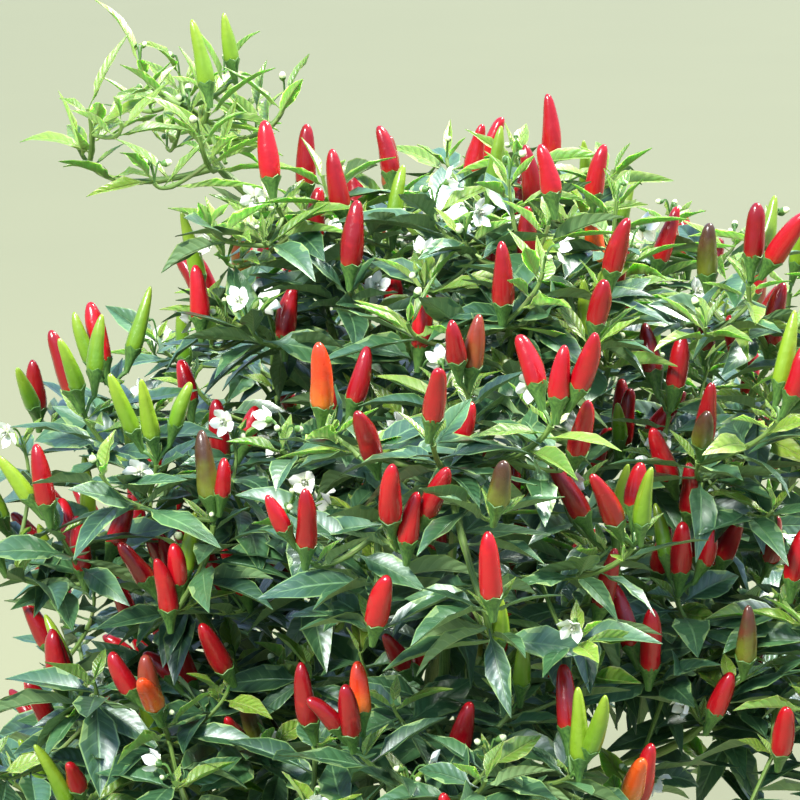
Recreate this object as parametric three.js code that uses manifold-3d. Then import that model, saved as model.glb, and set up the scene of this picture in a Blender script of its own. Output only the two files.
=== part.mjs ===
// A chilli pepper bush, rooted in the ground, in millimetres, +Z up. Its origin is at the foot of its stem.
//
// One woody stem carries five main boughs and a leader. Side boughs grow from those, and each ends in a
// mass of foliage: green twigs that bear leaves and an upright fruit at their tips. Seen from the front,
// which looks along +Y, the crown is lower on the left, and one long shoot leans out of it there. A leaf
// here stands for a small spray of the real ones, so it is larger than life.

import * as THREE from "three";
import { mergeVertices } from "three/addons/utils/BufferGeometryUtils.js";
import Module from "manifold-3d";

const wasm = await Module();
wasm.setup();

// Driving dimensions of the woody parts.
const CLEARANCE = 0.35;
const STEM = { height: 118, leanX: 7, leanY: 5, footRadius: 7.5, tipRadius: 5.2 };
const ROOT_FLARE = { radius: 6.5, height: 9, ribs: 3, ribDepth: 0.14 };
const MAIN_BOUGH = { firstZ: 66, stepZ: 11, footRadius: 4.3, tipRadius: 3.1, out: 62, tipZ: 196 };
const MAIN_BOUGH_WAY = { axisShare: 0.6, tilted: 0.5, kneeOut: 0.55, kneeUp: 0.36 };
const LEADER = { out: 26, turn: 60, tipZ: 392, footRadius: 4.4, tipRadius: 2.3 };
const SIDE_BOUGH = { footRadius: 2.9, tipRadius: 2.3, arch: 0.12 };
const SAMPLES_ON_LIMB = 24;
const LIMB_SHAPE = {
  stem: { sides: 16, steps: 6 },
  main: { sides: 7, steps: 5 },
  side: { sides: 6, steps: 3 },
  stemlet: { sides: 5, steps: 3 },
  twig: { sides: 3, steps: 2 },
};

// Driving dimensions of the crown. Its axis stands a little to one side of the stem's foot, and its rings
// of foliage are tilted, down towards the low side.
const CROWN = { axisX: 26, axisY: 16, coreZ: 200, lowSide: 172, tilt: 20 };
const SKIRT = { ring: "skirt", count: 6, turn: 30, out: 168, z: 240, tilted: 1.1, spread: 86, rise: 88 };
const SHOULDER = { ring: "shoulder", count: 5, turn: 54, out: 162, z: 380, tilted: 1.7, spread: 88, rise: 78 };
const CREST = { ring: "crest", count: 3, turn: 60, out: 70, z: 460, tilted: 0, spread: 76, rise: 60 };
const LEANING_SHOOT = { x: -108, y: 60, z: 530, spread: 66, rise: 34, tips: 8, fruitShare: 0.25 };

// Driving dimensions of a mass of foliage.
const MASS = { tips: 10, fruitShare: 0.9, candidates: 14, inner: 0.3 };
const MARGIN = { tip: 9, knee: 4.5, wall: 0.6, limb: 2.5 };
const STEMLET = { footRadius: 2.3, tipRadius: 1.5, lift: 0.25, offers: [0.25, 0.5, 0.75, 1] };
const TWIG = { rootRadius: 0.9, footRadius: 1.7, tipRadius: 1.4, shortest: 16, knee: 0.42 };
const TWIG_OFFERS = [0.3, 0.55, 0.8];
const ROSETTE = { leaves: 4, spacing: 8, golden: 137.5, topPitch: 34, pitchStep: 24, sway: 9 };
const TURN_ASIDE = { step: 31, tries: 10 };
const LEAF = { shortest: 66, longest: 84, width: 0.44, widestAt: 0.42, roll: 38 };
const LEAF_BLADE = { rootHalf: 0.55, rib: 0.6, fold: 0.12 };
const FRUIT = { pedicel: 15, calyx: 5, sunk: 2.4, shortest: 24, longest: 32, radius: 5.2, bow: 4, sides: 5 };

// Plain colours, with the share of light that each surface scatters.
const BARK = new THREE.MeshStandardMaterial({ color: 0x6f6a45, roughness: 0.85, metalness: 0 });
const GREEN_WOOD = new THREE.MeshStandardMaterial({ color: 0x4f7a34, roughness: 0.7, metalness: 0 });
const FOLIAGE = new THREE.MeshStandardMaterial({ color: 0x2f5f33, roughness: 0.45, metalness: 0 });

const UP = new THREE.Vector3(0, 0, 1);
const radians = THREE.MathUtils.degToRad;
const vector = (x, y, z) => new THREE.Vector3(x, y, z);
const heading = (degrees) => vector(Math.cos(radians(degrees)), Math.sin(radians(degrees)), 0);
const bend = (start, knee, end) => new THREE.QuadraticBezierCurve3(start, knee, end);
const taper = (foot, tip) => (along) => THREE.MathUtils.lerp(foot, tip, along);

// Seeded throws: each call gives a number between low and high, the same ones on every run.
function dice(seed) {
  let state = seed * 7919 + 104729;
  return (low, high) => {
    state = (state * 48271) % 2147483647;
    return low + ((high - low) * state) / 2147483647;
  };
}

// Closed solids: a three.js geometry becomes one that can be joined and cut, and comes back as one.
function solidOf(geometry) {
  geometry.deleteAttribute("normal");
  geometry.deleteAttribute("uv");
  const merged = mergeVertices(geometry, 1e-4);
  const vertProperties = merged.getAttribute("position").array;
  const triVerts = new Uint32Array(merged.index.array);
  return new wasm.Manifold(new wasm.Mesh({ numProp: 3, vertProperties, triVerts }));
}

function geometryOf(solid) {
  const mesh = solid.getMesh();
  const geometry = new THREE.BufferGeometry();
  geometry.setAttribute("position", new THREE.BufferAttribute(new Float32Array(mesh.vertProperties), 3));
  geometry.setIndex(new THREE.BufferAttribute(new Uint32Array(mesh.triVerts), 1));
  const flat = geometry.toNonIndexed();
  flat.computeVertexNormals();
  return flat;
}

// Of what fusing or cutting leaves, the body that everything grows on is kept. Loose scraps are dropped,
// and a sealed hollow is filled.
function largestPiece(solid) {
  const flatness = 0.02;
  const pieces = solid.asOriginal().simplify(flatness).decompose();
  return pieces.reduce((best, piece) => (piece.volume() > best.volume() ? piece : best));
}

// A tapering limb with flat ends: a cylinder whose rings are carried on to a curve. Grown, it is thicker
// and longer by the clearance that its neighbours keep.
function limbGeometry(curve, radiusAt, { sides, steps }, grow = 0) {
  const geometry = new THREE.CylinderGeometry(1, 1, 1, sides, steps);
  const frames = curve.computeFrenetFrames(steps);
  const position = geometry.getAttribute("position");
  for (let i = 0; i < position.count; i++) {
    const along = position.getY(i) + 0.5;
    const ring = Math.round(along * steps);
    const radius = radiusAt(along, Math.atan2(position.getX(i), position.getZ(i))) + grow;
    const point = curve.getPointAt(along);
    point.addScaledVector(frames.normals[ring], position.getX(i) * radius);
    point.addScaledVector(frames.binormals[ring], -position.getZ(i) * radius);
    if (ring === 0) point.addScaledVector(frames.tangents[ring], -grow);
    if (ring === steps) point.addScaledVector(frames.tangents[ring], grow);
    position.setXYZ(i, point.x, point.y, point.z);
  }
  return geometry;
}

function makeLimb(name, curve, radiusAt, shape, material) {
  const sampleAt = (along) => ({ middle: curve.getPoint(along), radius: radiusAt(along, 0) });
  return {
    name,
    curve,
    material,
    solid: solidOf(limbGeometry(curve, radiusAt, shape)),
    grown: solidOf(limbGeometry(curve, radiusAt, shape, CLEARANCE)),
    samples: Array.from({ length: SAMPLES_ON_LIMB + 1 }, (_, i) => sampleAt(i / SAMPLES_ON_LIMB)),
  };
}

// The stem stands on a flat cut at ground level, where a root flare with three low ribs widens it.
function stemRadius(along, angle) {
  const height = along * STEM.height;
  const fade = Math.exp(-height / ROOT_FLARE.height);
  const rib = ROOT_FLARE.ribDepth * Math.cos(ROOT_FLARE.ribs * angle) * Math.sqrt(fade);
  const plain = THREE.MathUtils.lerp(STEM.footRadius, STEM.tipRadius, along);
  return (plain + ROOT_FLARE.radius * fade) * (1 + rib);
}

function makeStem() {
  const knee = vector(0, 0, 0.5 * STEM.height);
  const curve = bend(vector(0, 0, 0), knee, vector(STEM.leanX, STEM.leanY, STEM.height));
  return makeLimb("stem", curve, stemRadius, LIMB_SHAPE.stem, BARK);
}

// Masses of foliage stand in rings round the crown's axis, each about a heart of its own.
const crownAxis = vector(CROWN.axisX, CROWN.axisY, 0);
const tiltDrop = (azimuth) => CROWN.tilt * Math.cos(radians(azimuth - CROWN.lowSide));

function ringOfMasses({ ring, count, turn, out, z, tilted, spread, rise }) {
  return Array.from({ length: count }, (_, k) => {
    const azimuth = turn + (k * 360) / count;
    const heart = crownAxis.clone().addScaledVector(heading(azimuth), out);
    heart.z = z - tilted * tiltDrop(azimuth);
    return { ...MASS, name: `foliage_${ring}_${k + 1}`, azimuth, heart, spread, rise };
  });
}

const skirts = ringOfMasses(SKIRT);
const shoulders = ringOfMasses(SHOULDER);
const crests = ringOfMasses(CREST);
const shootHeart = vector(LEANING_SHOOT.x, LEANING_SHOOT.y, LEANING_SHOOT.z);
const leaningShoot = { ...MASS, ...LEANING_SHOOT, name: "foliage_leaning_shoot", heart: shootHeart };
const masses = [...skirts, ...shoulders, ...crests, leaningShoot];

// Main boughs leave the stem one above the other, each towards its own shoulder of the crown. The leader
// goes on from the stem's top.
function makeMainBoughs(stem) {
  const boughs = shoulders.map((shoulder, k) => {
    const rank = (2 * k) % SHOULDER.count;
    const start = stem.curve.getPoint((MAIN_BOUGH.firstZ + rank * MAIN_BOUGH.stepZ) / STEM.height);
    const tip = crownAxis.clone().multiplyScalar(MAIN_BOUGH_WAY.axisShare);
    tip.addScaledVector(heading(shoulder.azimuth), MAIN_BOUGH.out);
    tip.z = MAIN_BOUGH.tipZ - MAIN_BOUGH_WAY.tilted * tiltDrop(shoulder.azimuth);
    const knee = start.clone().lerp(tip, MAIN_BOUGH_WAY.kneeOut);
    knee.z = THREE.MathUtils.lerp(start.z, tip.z, MAIN_BOUGH_WAY.kneeUp);
    const radiusAt = taper(MAIN_BOUGH.footRadius, MAIN_BOUGH.tipRadius);
    return makeLimb(`main_bough_${k + 1}`, bend(start, knee, tip), radiusAt, LIMB_SHAPE.main, BARK);
  });
  const start = stem.curve.getPoint(1).addScaledVector(UP, CLEARANCE);
  const tip = crownAxis.clone().addScaledVector(heading(LEADER.turn), LEADER.out).setZ(LEADER.tipZ);
  const knee = vector(1.6 * STEM.leanX, 1.6 * STEM.leanY, 0.5 * (start.z + tip.z));
  const radiusAt = taper(LEADER.footRadius, LEADER.tipRadius);
  return [...boughs, makeLimb("leader", bend(start, knee, tip), radiusAt, LIMB_SHAPE.main, BARK)];
}

// Side boughs end where they enter their mass: one goes from each main bough's tip up to its shoulder, one
// or two from further down out to the skirts beside it, and three from the leader, which ends in a crest.
const turnBetween = (a, b) => Math.abs(((((a - b) % 360) + 540) % 360) - 180);

function nearestTo(azimuth, ring) {
  const turns = ring.map((mass) => Math.round(turnBetween(mass.azimuth, azimuth)));
  return turns.indexOf(Math.min(...turns));
}

function planSideBoughs(mainBoughs) {
  const leader = mainBoughs[SHOULDER.count];
  const plan = shoulders.map((mass, k) => ({ mass, parent: mainBoughs[k], leavesAt: 1, reach: 0.6 }));
  for (const mass of skirts) {
    const parent = mainBoughs[nearestTo(mass.azimuth, shoulders)];
    const taken = plan.some((earlier) => earlier.parent === parent && earlier.leavesAt < 1);
    plan.push({ mass, parent, leavesAt: taken ? 0.66 : 0.84, reach: 0.55 });
  }
  plan.push({ mass: crests[1], parent: leader, leavesAt: 0.62, reach: 0.6 });
  plan.push({ mass: crests[2], parent: leader, leavesAt: 0.72, reach: 0.6 });
  plan.push({ mass: leaningShoot, parent: leader, leavesAt: 0.86, reach: 0.84 });
  return plan;
}

function makeSideBough({ mass, parent, leavesAt, reach }, k) {
  const start = parent.curve.getPoint(leavesAt);
  const tip = start.clone().lerp(mass.heart, reach);
  const knee = start.clone().lerp(tip, 0.5);
  knee.addScaledVector(parent.curve.getTangent(leavesAt), SIDE_BOUGH.arch * start.distanceTo(tip));
  const radiusAt = taper(SIDE_BOUGH.footRadius, SIDE_BOUGH.tipRadius);
  const name = `side_bough_${k + 1}`;
  mass.limb = makeLimb(name, bend(start, knee, tip), radiusAt, LIMB_SHAPE.side, GREEN_WOOD);
  return mass.limb;
}

// Each limb's foot is cut to the limbs before it, so that it sits on them with the clearance between.
const cutClear = (limb, k, all) =>
  largestPiece(all.slice(0, k).reduce((solid, earlier) => solid.subtract(earlier.grown), limb.solid));

const stem = makeStem();
const mainBoughs = makeMainBoughs(stem);
const sideBoughs = planSideBoughs(mainBoughs).map(makeSideBough);
crests[0].limb = mainBoughs[SHOULDER.count];
const limbs = [stem, ...mainBoughs, ...sideBoughs];
const everyLimb = wasm.Manifold.union(limbs.map((limb) => limb.grown));

// A mass keeps to its own space: what lies nearer to its heart than to any other heart. A point's room is
// how far it is inside the flat walls of that space.
function roomAt(point, mass) {
  const own = point.distanceToSquared(mass.heart);
  return masses.reduce((least, other) => {
    if (other === mass) return least;
    const room = (point.distanceToSquared(other.heart) - own) / (2 * mass.heart.distanceTo(other.heart));
    return Math.min(least, room);
  }, Infinity);
}

// How far a point is from the nearest limb's surface.
function limbGap(point) {
  const gapTo = ({ middle, radius }) => point.distanceTo(middle) - radius;
  return Math.min(...limbs.flatMap((limb) => limb.samples.map(gapTo)));
}

// The way that a shoot grows at a point: up, and away from the crown's core.
const crownCore = crownAxis.clone().setZ(CROWN.coreZ);
const facingAt = (point) => point.clone().sub(crownCore).normalize();
const growthAt = (point) => facingAt(point).multiplyScalar(0.6).addScaledVector(UP, 0.75).normalize();

// Tips of shoots are sown one by one on the mass's outer side, each as far as it can be from the others.
function sowTips(mass, roll, foot) {
  const outward = facingAt(mass.heart);
  const sown = [foot];
  for (let n = 0; n < mass.tips; n++) {
    let best = null;
    let widest = 0;
    for (let k = 0; k < mass.candidates; k++) {
      const height = roll(-0.7, 1);
      const turn = roll(0, 2 * Math.PI);
      const reach = Math.cbrt(roll(0.2, 1));
      const ring = mass.spread * reach * Math.sqrt(1 - height * height);
      const offset = vector(ring * Math.cos(turn), ring * Math.sin(turn), mass.rise * reach * height);
      const point = mass.heart.clone().add(offset);
      const apart = Math.min(...sown.map((other) => other.distanceTo(point)));
      const outside = offset.dot(outward) > -mass.inner * mass.spread;
      if (outside && roomAt(point, mass) > MARGIN.tip && apart > widest) {
        best = point;
        widest = apart;
      }
    }
    if (best) sown.push(best);
  }
  return sown.slice(1);
}

// A twig leaves the best placed of the points that earlier wood offers, and rises to its tip from below.
function leadTwig(tip, offers, mass) {
  const cost = ({ point, direction }) => {
    const way = tip.clone().sub(point);
    const length = way.length();
    return length < TWIG.shortest ? Infinity : length * (1.7 - 0.7 * way.normalize().dot(direction));
  };
  const from = offers.reduce((best, offer) => (cost(offer) < cost(best) ? offer : best)).point;
  const length = from.distanceTo(tip);
  let knee = tip.clone().addScaledVector(growthAt(tip), -TWIG.knee * length);
  if (roomAt(knee, mass) < MARGIN.knee) knee = from.clone().lerp(tip, 0.5);
  return { curve: bend(from, knee, tip), length };
}

const twigIsClear = (curve) => curve.getPoints(8).slice(1).every((point) => limbGap(point) > MARGIN.limb);

const offersOf = (curve, shares) =>
  shares.map((along) => ({ point: curve.getPoint(along), direction: curve.getTangent(along) }));

// A twig's root is slender, so that it stays inside the wood that it leaves.
const twigTaper = taper(TWIG.footRadius, TWIG.tipRadius);
const twigRadius = (along) => (along === 0 ? TWIG.rootRadius : twigTaper(along));

// A leaf is an octahedron drawn out along its midrib: tip, two edges, the rib's upper side where the leaf
// is widest, and a root that is two corners deep. Its edges stand higher than its rib, as on a folded leaf.
function leafGeometry(root, along, length, tilt) {
  const side = UP.clone().cross(along).normalize().applyAxisAngle(along, tilt);
  const up = along.clone().cross(side);
  const halfWidth = 0.5 * LEAF.width * length;
  const widest = LEAF.widestAt * length;
  const cornerFor = (x, y, z) => {
    if (x !== 0) return [x * halfWidth, 2 * LEAF_BLADE.fold * halfWidth, widest];
    if (y > 0) return [0, LEAF_BLADE.rib, widest];
    if (y < 0) return [0, -LEAF_BLADE.rootHalf, 0];
    return z > 0 ? [0, 0, length] : [0, LEAF_BLADE.rootHalf, 0];
  };
  const geometry = new THREE.OctahedronGeometry(1, 0);
  const position = geometry.getAttribute("position");
  for (let i = 0; i < position.count; i++) {
    const corner = [position.getX(i), position.getY(i), position.getZ(i)].map(Math.round);
    const [across, above, onward] = cornerFor(...corner);
    const point = root.clone().addScaledVector(side, across).addScaledVector(up, above);
    point.addScaledVector(along, onward);
    position.setXYZ(i, point.x, point.y, point.z);
  }
  return geometry;
}

// A fruit with its calyx is one turned profile, a little bowed. Its pedicel is the twig's last stretch.
function fruitGeometry(root, axis, length, bow) {
  const whole = FRUIT.calyx + length;
  const profile = [
    [0, 0],
    [0.9 * FRUIT.radius, FRUIT.calyx],
    [FRUIT.radius, FRUIT.calyx + 0.35 * length],
    [0.66 * FRUIT.radius, FRUIT.calyx + 0.8 * length],
    [0, whole],
  ];
  const corners = profile.map(([radius, height]) => new THREE.Vector2(radius, height));
  const geometry = new THREE.LatheGeometry(corners, FRUIT.sides);
  const position = geometry.getAttribute("position");
  for (let i = 0; i < position.count; i++) {
    const rise = position.getY(i) / whole;
    position.setX(i, position.getX(i) + bow * rise * rise);
  }
  geometry.applyQuaternion(new THREE.Quaternion().setFromUnitVectors(vector(0, 1, 0), axis));
  return geometry.translate(root.x, root.y, root.z);
}

function keepsRoom(geometry, mass) {
  const position = geometry.getAttribute("position");
  const corner = vector(0, 0, 0);
  for (let i = 0; i < position.count; i++) {
    if (roomAt(corner.fromBufferAttribute(position, i), mass) < MARGIN.wall) return false;
  }
  return true;
}

// What stands at a twig's tip: an upright fruit that leans a little outwards.
function bearFruit(twig, roll) {
  const tip = twig.curve.getPoint(1);
  const sway = vector(roll(-0.22, 0.22), roll(-0.22, 0.22), 0);
  const axis = UP.clone().addScaledVector(facingAt(tip), 0.32).add(sway).normalize();
  const length = roll(FRUIT.shortest, FRUIT.longest);
  const bow = roll(-FRUIT.bow, FRUIT.bow);
  return fruitGeometry(tip.addScaledVector(axis, -FRUIT.sunk), axis, length, bow);
}

// Leaves stand round the last stretch of a twig, below its pedicel, the youngest and steepest on top. One
// that is in the way of something turns aside by a fixed step at each try.
function bearLeaf(twig, rank, tried, roll) {
  const bare = twig.fruitful ? FRUIT.pedicel : 0.5 * ROSETTE.spacing;
  const back = Math.min(0.8, (bare + rank * ROSETTE.spacing) / twig.length);
  const pitch = radians(ROSETTE.topPitch - ROSETTE.pitchStep * rank + roll(-ROSETTE.sway, ROSETTE.sway));
  const level = heading(twig.turn + rank * ROSETTE.golden + tried * TURN_ASIDE.step);
  const along = level.multiplyScalar(Math.cos(pitch)).addScaledVector(UP, Math.sin(pitch));
  const length = roll(LEAF.shortest, LEAF.longest);
  return leafGeometry(twig.curve.getPoint(1 - back), along, length, radians(roll(-LEAF.roll, LEAF.roll)));
}

// A mass's wood: a stemlet that goes on from its bough's tip to its heart, and twigs that branch from it.
function growWood(mass, roll) {
  const way = mass.limb.curve.getTangent(1);
  const foot = mass.limb.curve.getPoint(1).addScaledVector(way, CLEARANCE);
  const heart = mass.heart.clone().addScaledVector(UP, STEMLET.lift * mass.rise);
  const length = foot.distanceTo(heart);
  const curve = bend(foot, foot.clone().addScaledVector(way, 0.4 * length), heart);
  const radiusAt = taper(STEMLET.footRadius, STEMLET.tipRadius);
  const stemlet = { curve, length, solid: solidOf(limbGeometry(curve, radiusAt, LIMB_SHAPE.stemlet)) };
  const twigs = [stemlet];
  const offers = offersOf(curve, STEMLET.offers);
  for (const tip of sowTips(mass, roll, foot)) {
    const twig = leadTwig(tip, offers, mass);
    if (!twigIsClear(twig.curve)) continue;
    twig.solid = solidOf(limbGeometry(twig.curve, twigRadius, LIMB_SHAPE.twig));
    offers.push(...offersOf(twig.curve, TWIG_OFFERS));
    twigs.push(twig);
  }
  return twigs;
}

// A mass is one solid. Fruit and leaves are fused on one by one where they keep to the mass's space and
// clear of limbs, other twigs, fruit and leaves; the rest are left out.
function growMass(mass, index) {
  const roll = dice(index + 1);
  const twigs = growWood(mass, roll);
  const borne = [];
  const fits = (geometry, solid, twig) => {
    if (!keepsRoom(geometry, mass)) return false;
    const others = twigs.filter((other) => other !== twig).map((other) => other.solid);
    return [everyLimb, ...borne, ...others].every((other) => solid.intersect(other).isEmpty());
  };
  for (const twig of twigs) {
    const geometry = bearFruit(twig, roll);
    const solid = solidOf(geometry);
    twig.turn = roll(0, 360);
    twig.fruitful = roll(0, 1) < mass.fruitShare && fits(geometry, solid, twig);
    if (twig.fruitful) borne.push(solid);
  }
  for (let rank = 0; rank < ROSETTE.leaves; rank++) {
    for (const twig of twigs) {
      for (let tried = 0; tried < TURN_ASIDE.tries; tried++) {
        const geometry = bearLeaf(twig, rank, tried, roll);
        const solid = solidOf(geometry);
        if (!fits(geometry, solid, twig)) continue;
        borne.push(solid);
        break;
      }
    }
  }
  return largestPiece(wasm.Manifold.union([...twigs.map((twig) => twig.solid), ...borne]));
}

// The whole plant, as one group of named meshes.
const plant = new THREE.Group();
plant.name = "chilli_pepper_plant";

function addPiece(name, solid, material) {
  const mesh = new THREE.Mesh(geometryOf(solid), material);
  mesh.name = name;
  plant.add(mesh);
}

limbs.forEach((limb, k) => addPiece(limb.name, cutClear(limb, k, limbs), limb.material));
masses.forEach((mass, index) => addPiece(mass.name, growMass(mass, index), FOLIAGE));

export default plant;
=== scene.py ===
"""A chilli pepper bush, rooted in the ground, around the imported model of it. Metres, +Z up.

Sizes are written in millimetres, as on the plant itself, and become metres where a mesh is made.
"""

from itertools import product
from math import copysign, cos, inf, pi, radians, sin, sqrt, tan
from types import SimpleNamespace

import bpy
import numpy as np
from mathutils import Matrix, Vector, noise
from numpy.linalg import norm


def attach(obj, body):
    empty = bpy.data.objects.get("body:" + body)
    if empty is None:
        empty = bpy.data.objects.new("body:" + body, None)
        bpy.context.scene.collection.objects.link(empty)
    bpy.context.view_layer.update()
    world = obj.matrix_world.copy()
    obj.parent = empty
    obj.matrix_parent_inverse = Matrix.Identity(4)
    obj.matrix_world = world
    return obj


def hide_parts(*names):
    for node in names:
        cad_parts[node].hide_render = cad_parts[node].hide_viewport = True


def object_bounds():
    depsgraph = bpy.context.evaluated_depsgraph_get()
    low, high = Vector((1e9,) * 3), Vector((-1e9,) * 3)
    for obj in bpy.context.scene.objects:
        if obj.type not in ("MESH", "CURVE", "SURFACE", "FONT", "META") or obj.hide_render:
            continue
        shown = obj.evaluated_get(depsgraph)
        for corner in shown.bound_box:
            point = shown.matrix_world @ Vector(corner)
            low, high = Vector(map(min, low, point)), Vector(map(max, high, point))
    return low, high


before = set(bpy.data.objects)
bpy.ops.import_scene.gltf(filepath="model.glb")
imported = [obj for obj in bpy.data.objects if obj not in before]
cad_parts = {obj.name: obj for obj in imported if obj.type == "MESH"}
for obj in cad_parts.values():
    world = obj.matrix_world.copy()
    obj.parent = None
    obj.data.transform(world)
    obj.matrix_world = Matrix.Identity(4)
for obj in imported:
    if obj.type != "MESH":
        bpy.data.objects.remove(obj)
cad_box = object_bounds()


# ---- The stem ----
# One woody stem, as thick as a finger, which widens into three low root ribs and is cut flat at ground
# level. Its bark is tan and grey, ridged lengthwise, and still green higher up.

# Radii are a foot's and a tip's, and a mesh is so many sides by so many steps.
MILLIMETRE = 0.001
STEM_HEIGHT = 118
STEM_LEAN = (7, 5)
STEM_RADII = (7.5, 5.2)
STEM_MESH = (56, 96)
STEM_SEED = 1
FLARE_RADIUS = 6.5
FLARE_HEIGHT = 9
FLARE_RIBS = 3
FLARE_RIB_DEPTH = 0.14
BARK_RELIEF = 0.55
RIDGES_ROUND = 3.1
RIDGES_ALONG = 0.055
RIDGES_COARSE = 1.1
RIDGES_FINE = 0.45
LIMB_GRAIN = 40.0
BARK_TAN = (0.30, 0.225, 0.13)
BARK_GREY = (0.12, 0.09, 0.06)
BARK_GREEN = (0.095, 0.135, 0.035)
BARK_LIGHT_GREEN = (0.17, 0.20, 0.06)
BARK_CRACK = (0.035, 0.026, 0.018)
BARK_SPECK = (0.36, 0.31, 0.21)
TURNS_GREEN = (0.10, 0.22)
UP = np.array((0.0, 0.0, 1.0))


def unit(vector):
    return vector / norm(vector)


def heading(degrees):
    return np.array((cos(radians(degrees)), sin(radians(degrees)), 0.0))


def angles_round(sides):
    return 2 * pi * np.arange(sides) / sides


def tapered(radii, along):
    foot, tip = radii
    return foot + (tip - foot) * along


class Bend:
    """A curve with one knee: the run of every limb, twig and stalk."""

    def __init__(self, foot, knee, tip):
        self.foot, self.knee, self.tip = (np.array(corner, float) for corner in (foot, knee, tip))
        self.length = norm(np.diff(self.at(np.linspace(0, 1, 17)), axis=0), axis=1).sum()

    def at(self, along):
        t = np.asarray(along, float)[..., None]
        return (1 - t) ** 2 * self.foot + 2 * t * (1 - t) * self.knee + t**2 * self.tip

    def way(self, along):
        t = np.asarray(along, float)[..., None]
        slope = (1 - t) * (self.knee - self.foot) + t * (self.tip - self.knee)
        return slope / norm(slope, axis=-1, keepdims=True)


def rings_along(curve, radius_at, sides, steps, shift, end=1.0):
    """Rings of points round a curve, and their grain: two ways across it and one along, with a shift."""
    along = np.linspace(0.0, end, steps + 1)
    flat = np.cross(curve.knee - curve.foot, curve.tip - curve.foot)
    if norm(flat) < 1e-6:
        flat = np.cross(curve.tip - curve.foot, (0.9, 0.1, 0.3))
    across = unit(flat)
    outward = np.cross(across, curve.way(along))
    angle = angles_round(sides)
    radius = radius_at(along[:, None], angle[None, :]) * np.ones((steps + 1, sides))
    x, y = radius * np.cos(angle), radius * np.sin(angle)
    points = curve.at(along)[:, None] + outward[:, None] * x[..., None] + across * y[..., None]
    return points, x, y, (along * curve.length + shift)[:, None]


class Heap:
    """Skins of rings that are joined into one piece, with a mark on their points for the finish to read."""

    RIM_ANGLE = 62

    def __init__(self, name, mark="grain"):
        self.name, self.mark = name, mark
        self.points, self.faces, self.slots, self.marks = [], [], [], []
        self.count = 0

    def add(self, rings, *parts, slots=0):
        """Skins closed rings from first to last, and closes both ends. The mark has three parts."""
        steps, sides = rings.shape[0] - 1, rings.shape[1]
        low = self.count + np.arange(steps)[:, None] * sides
        here = np.arange(sides)
        on = (here + 1) % sides
        quads = np.stack((low + here, low + on, low + sides + on, low + sides + here), axis=-1)
        first, last = self.count + here[::-1], self.count + steps * sides + here
        self.faces += [*quads.reshape(-1, 4).tolist(), first.tolist(), last.tolist()]
        self.slots += [np.broadcast_to(slots, (steps, sides)).ravel(), np.zeros(2, int)]
        self.points.append(rings.reshape(-1, 3))
        self.count += rings.shape[0] * sides
        spread = [np.broadcast_to(part, rings.shape[:2]) for part in parts]
        self.marks.append(np.stack(spread, axis=-1).reshape(-1, 3))

    def make(self, *finishes):
        """The piece itself: one smooth mesh with sharp rims."""
        mesh = bpy.data.meshes.new(self.name)
        mesh.from_pydata((np.concatenate(self.points) * MILLIMETRE).tolist(), [], self.faces)
        mesh.polygons.foreach_set("material_index", np.concatenate(self.slots).astype(np.int32))
        layer = mesh.attributes.new(self.mark, "FLOAT_VECTOR", "POINT")
        layer.data.foreach_set("vector", np.concatenate(self.marks).astype(np.float32).ravel())
        for finish in finishes:
            mesh.materials.append(finish.owner)
        mesh.shade_smooth()
        mesh.set_sharp_from_angle(angle=radians(self.RIM_ANGLE))
        piece = bpy.data.objects.new(self.name, mesh)
        bpy.context.scene.collection.objects.link(piece)
        return piece


class Wire:
    """One socket of a finish. Arithmetic on it adds Math nodes."""

    def __init__(self, finish, socket):
        self.finish, self.socket = finish, socket

    def math(self, operation, first, second=0.0):
        inputs = {"Value": first, "Value_001": second}
        return self.finish.node("Math", {"operation": operation}, inputs, "Value")

    def __add__(self, other):
        return self.math("ADD", self, other)

    def __sub__(self, other):
        return self.math("SUBTRACT", self, other)

    def __rsub__(self, other):
        return self.math("SUBTRACT", other, self)

    def __mul__(self, other):
        return self.math("MULTIPLY", self, other)

    def __abs__(self):
        return self.math("ABSOLUTE", self)

    __radd__ = __add__
    __rmul__ = __mul__


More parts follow.
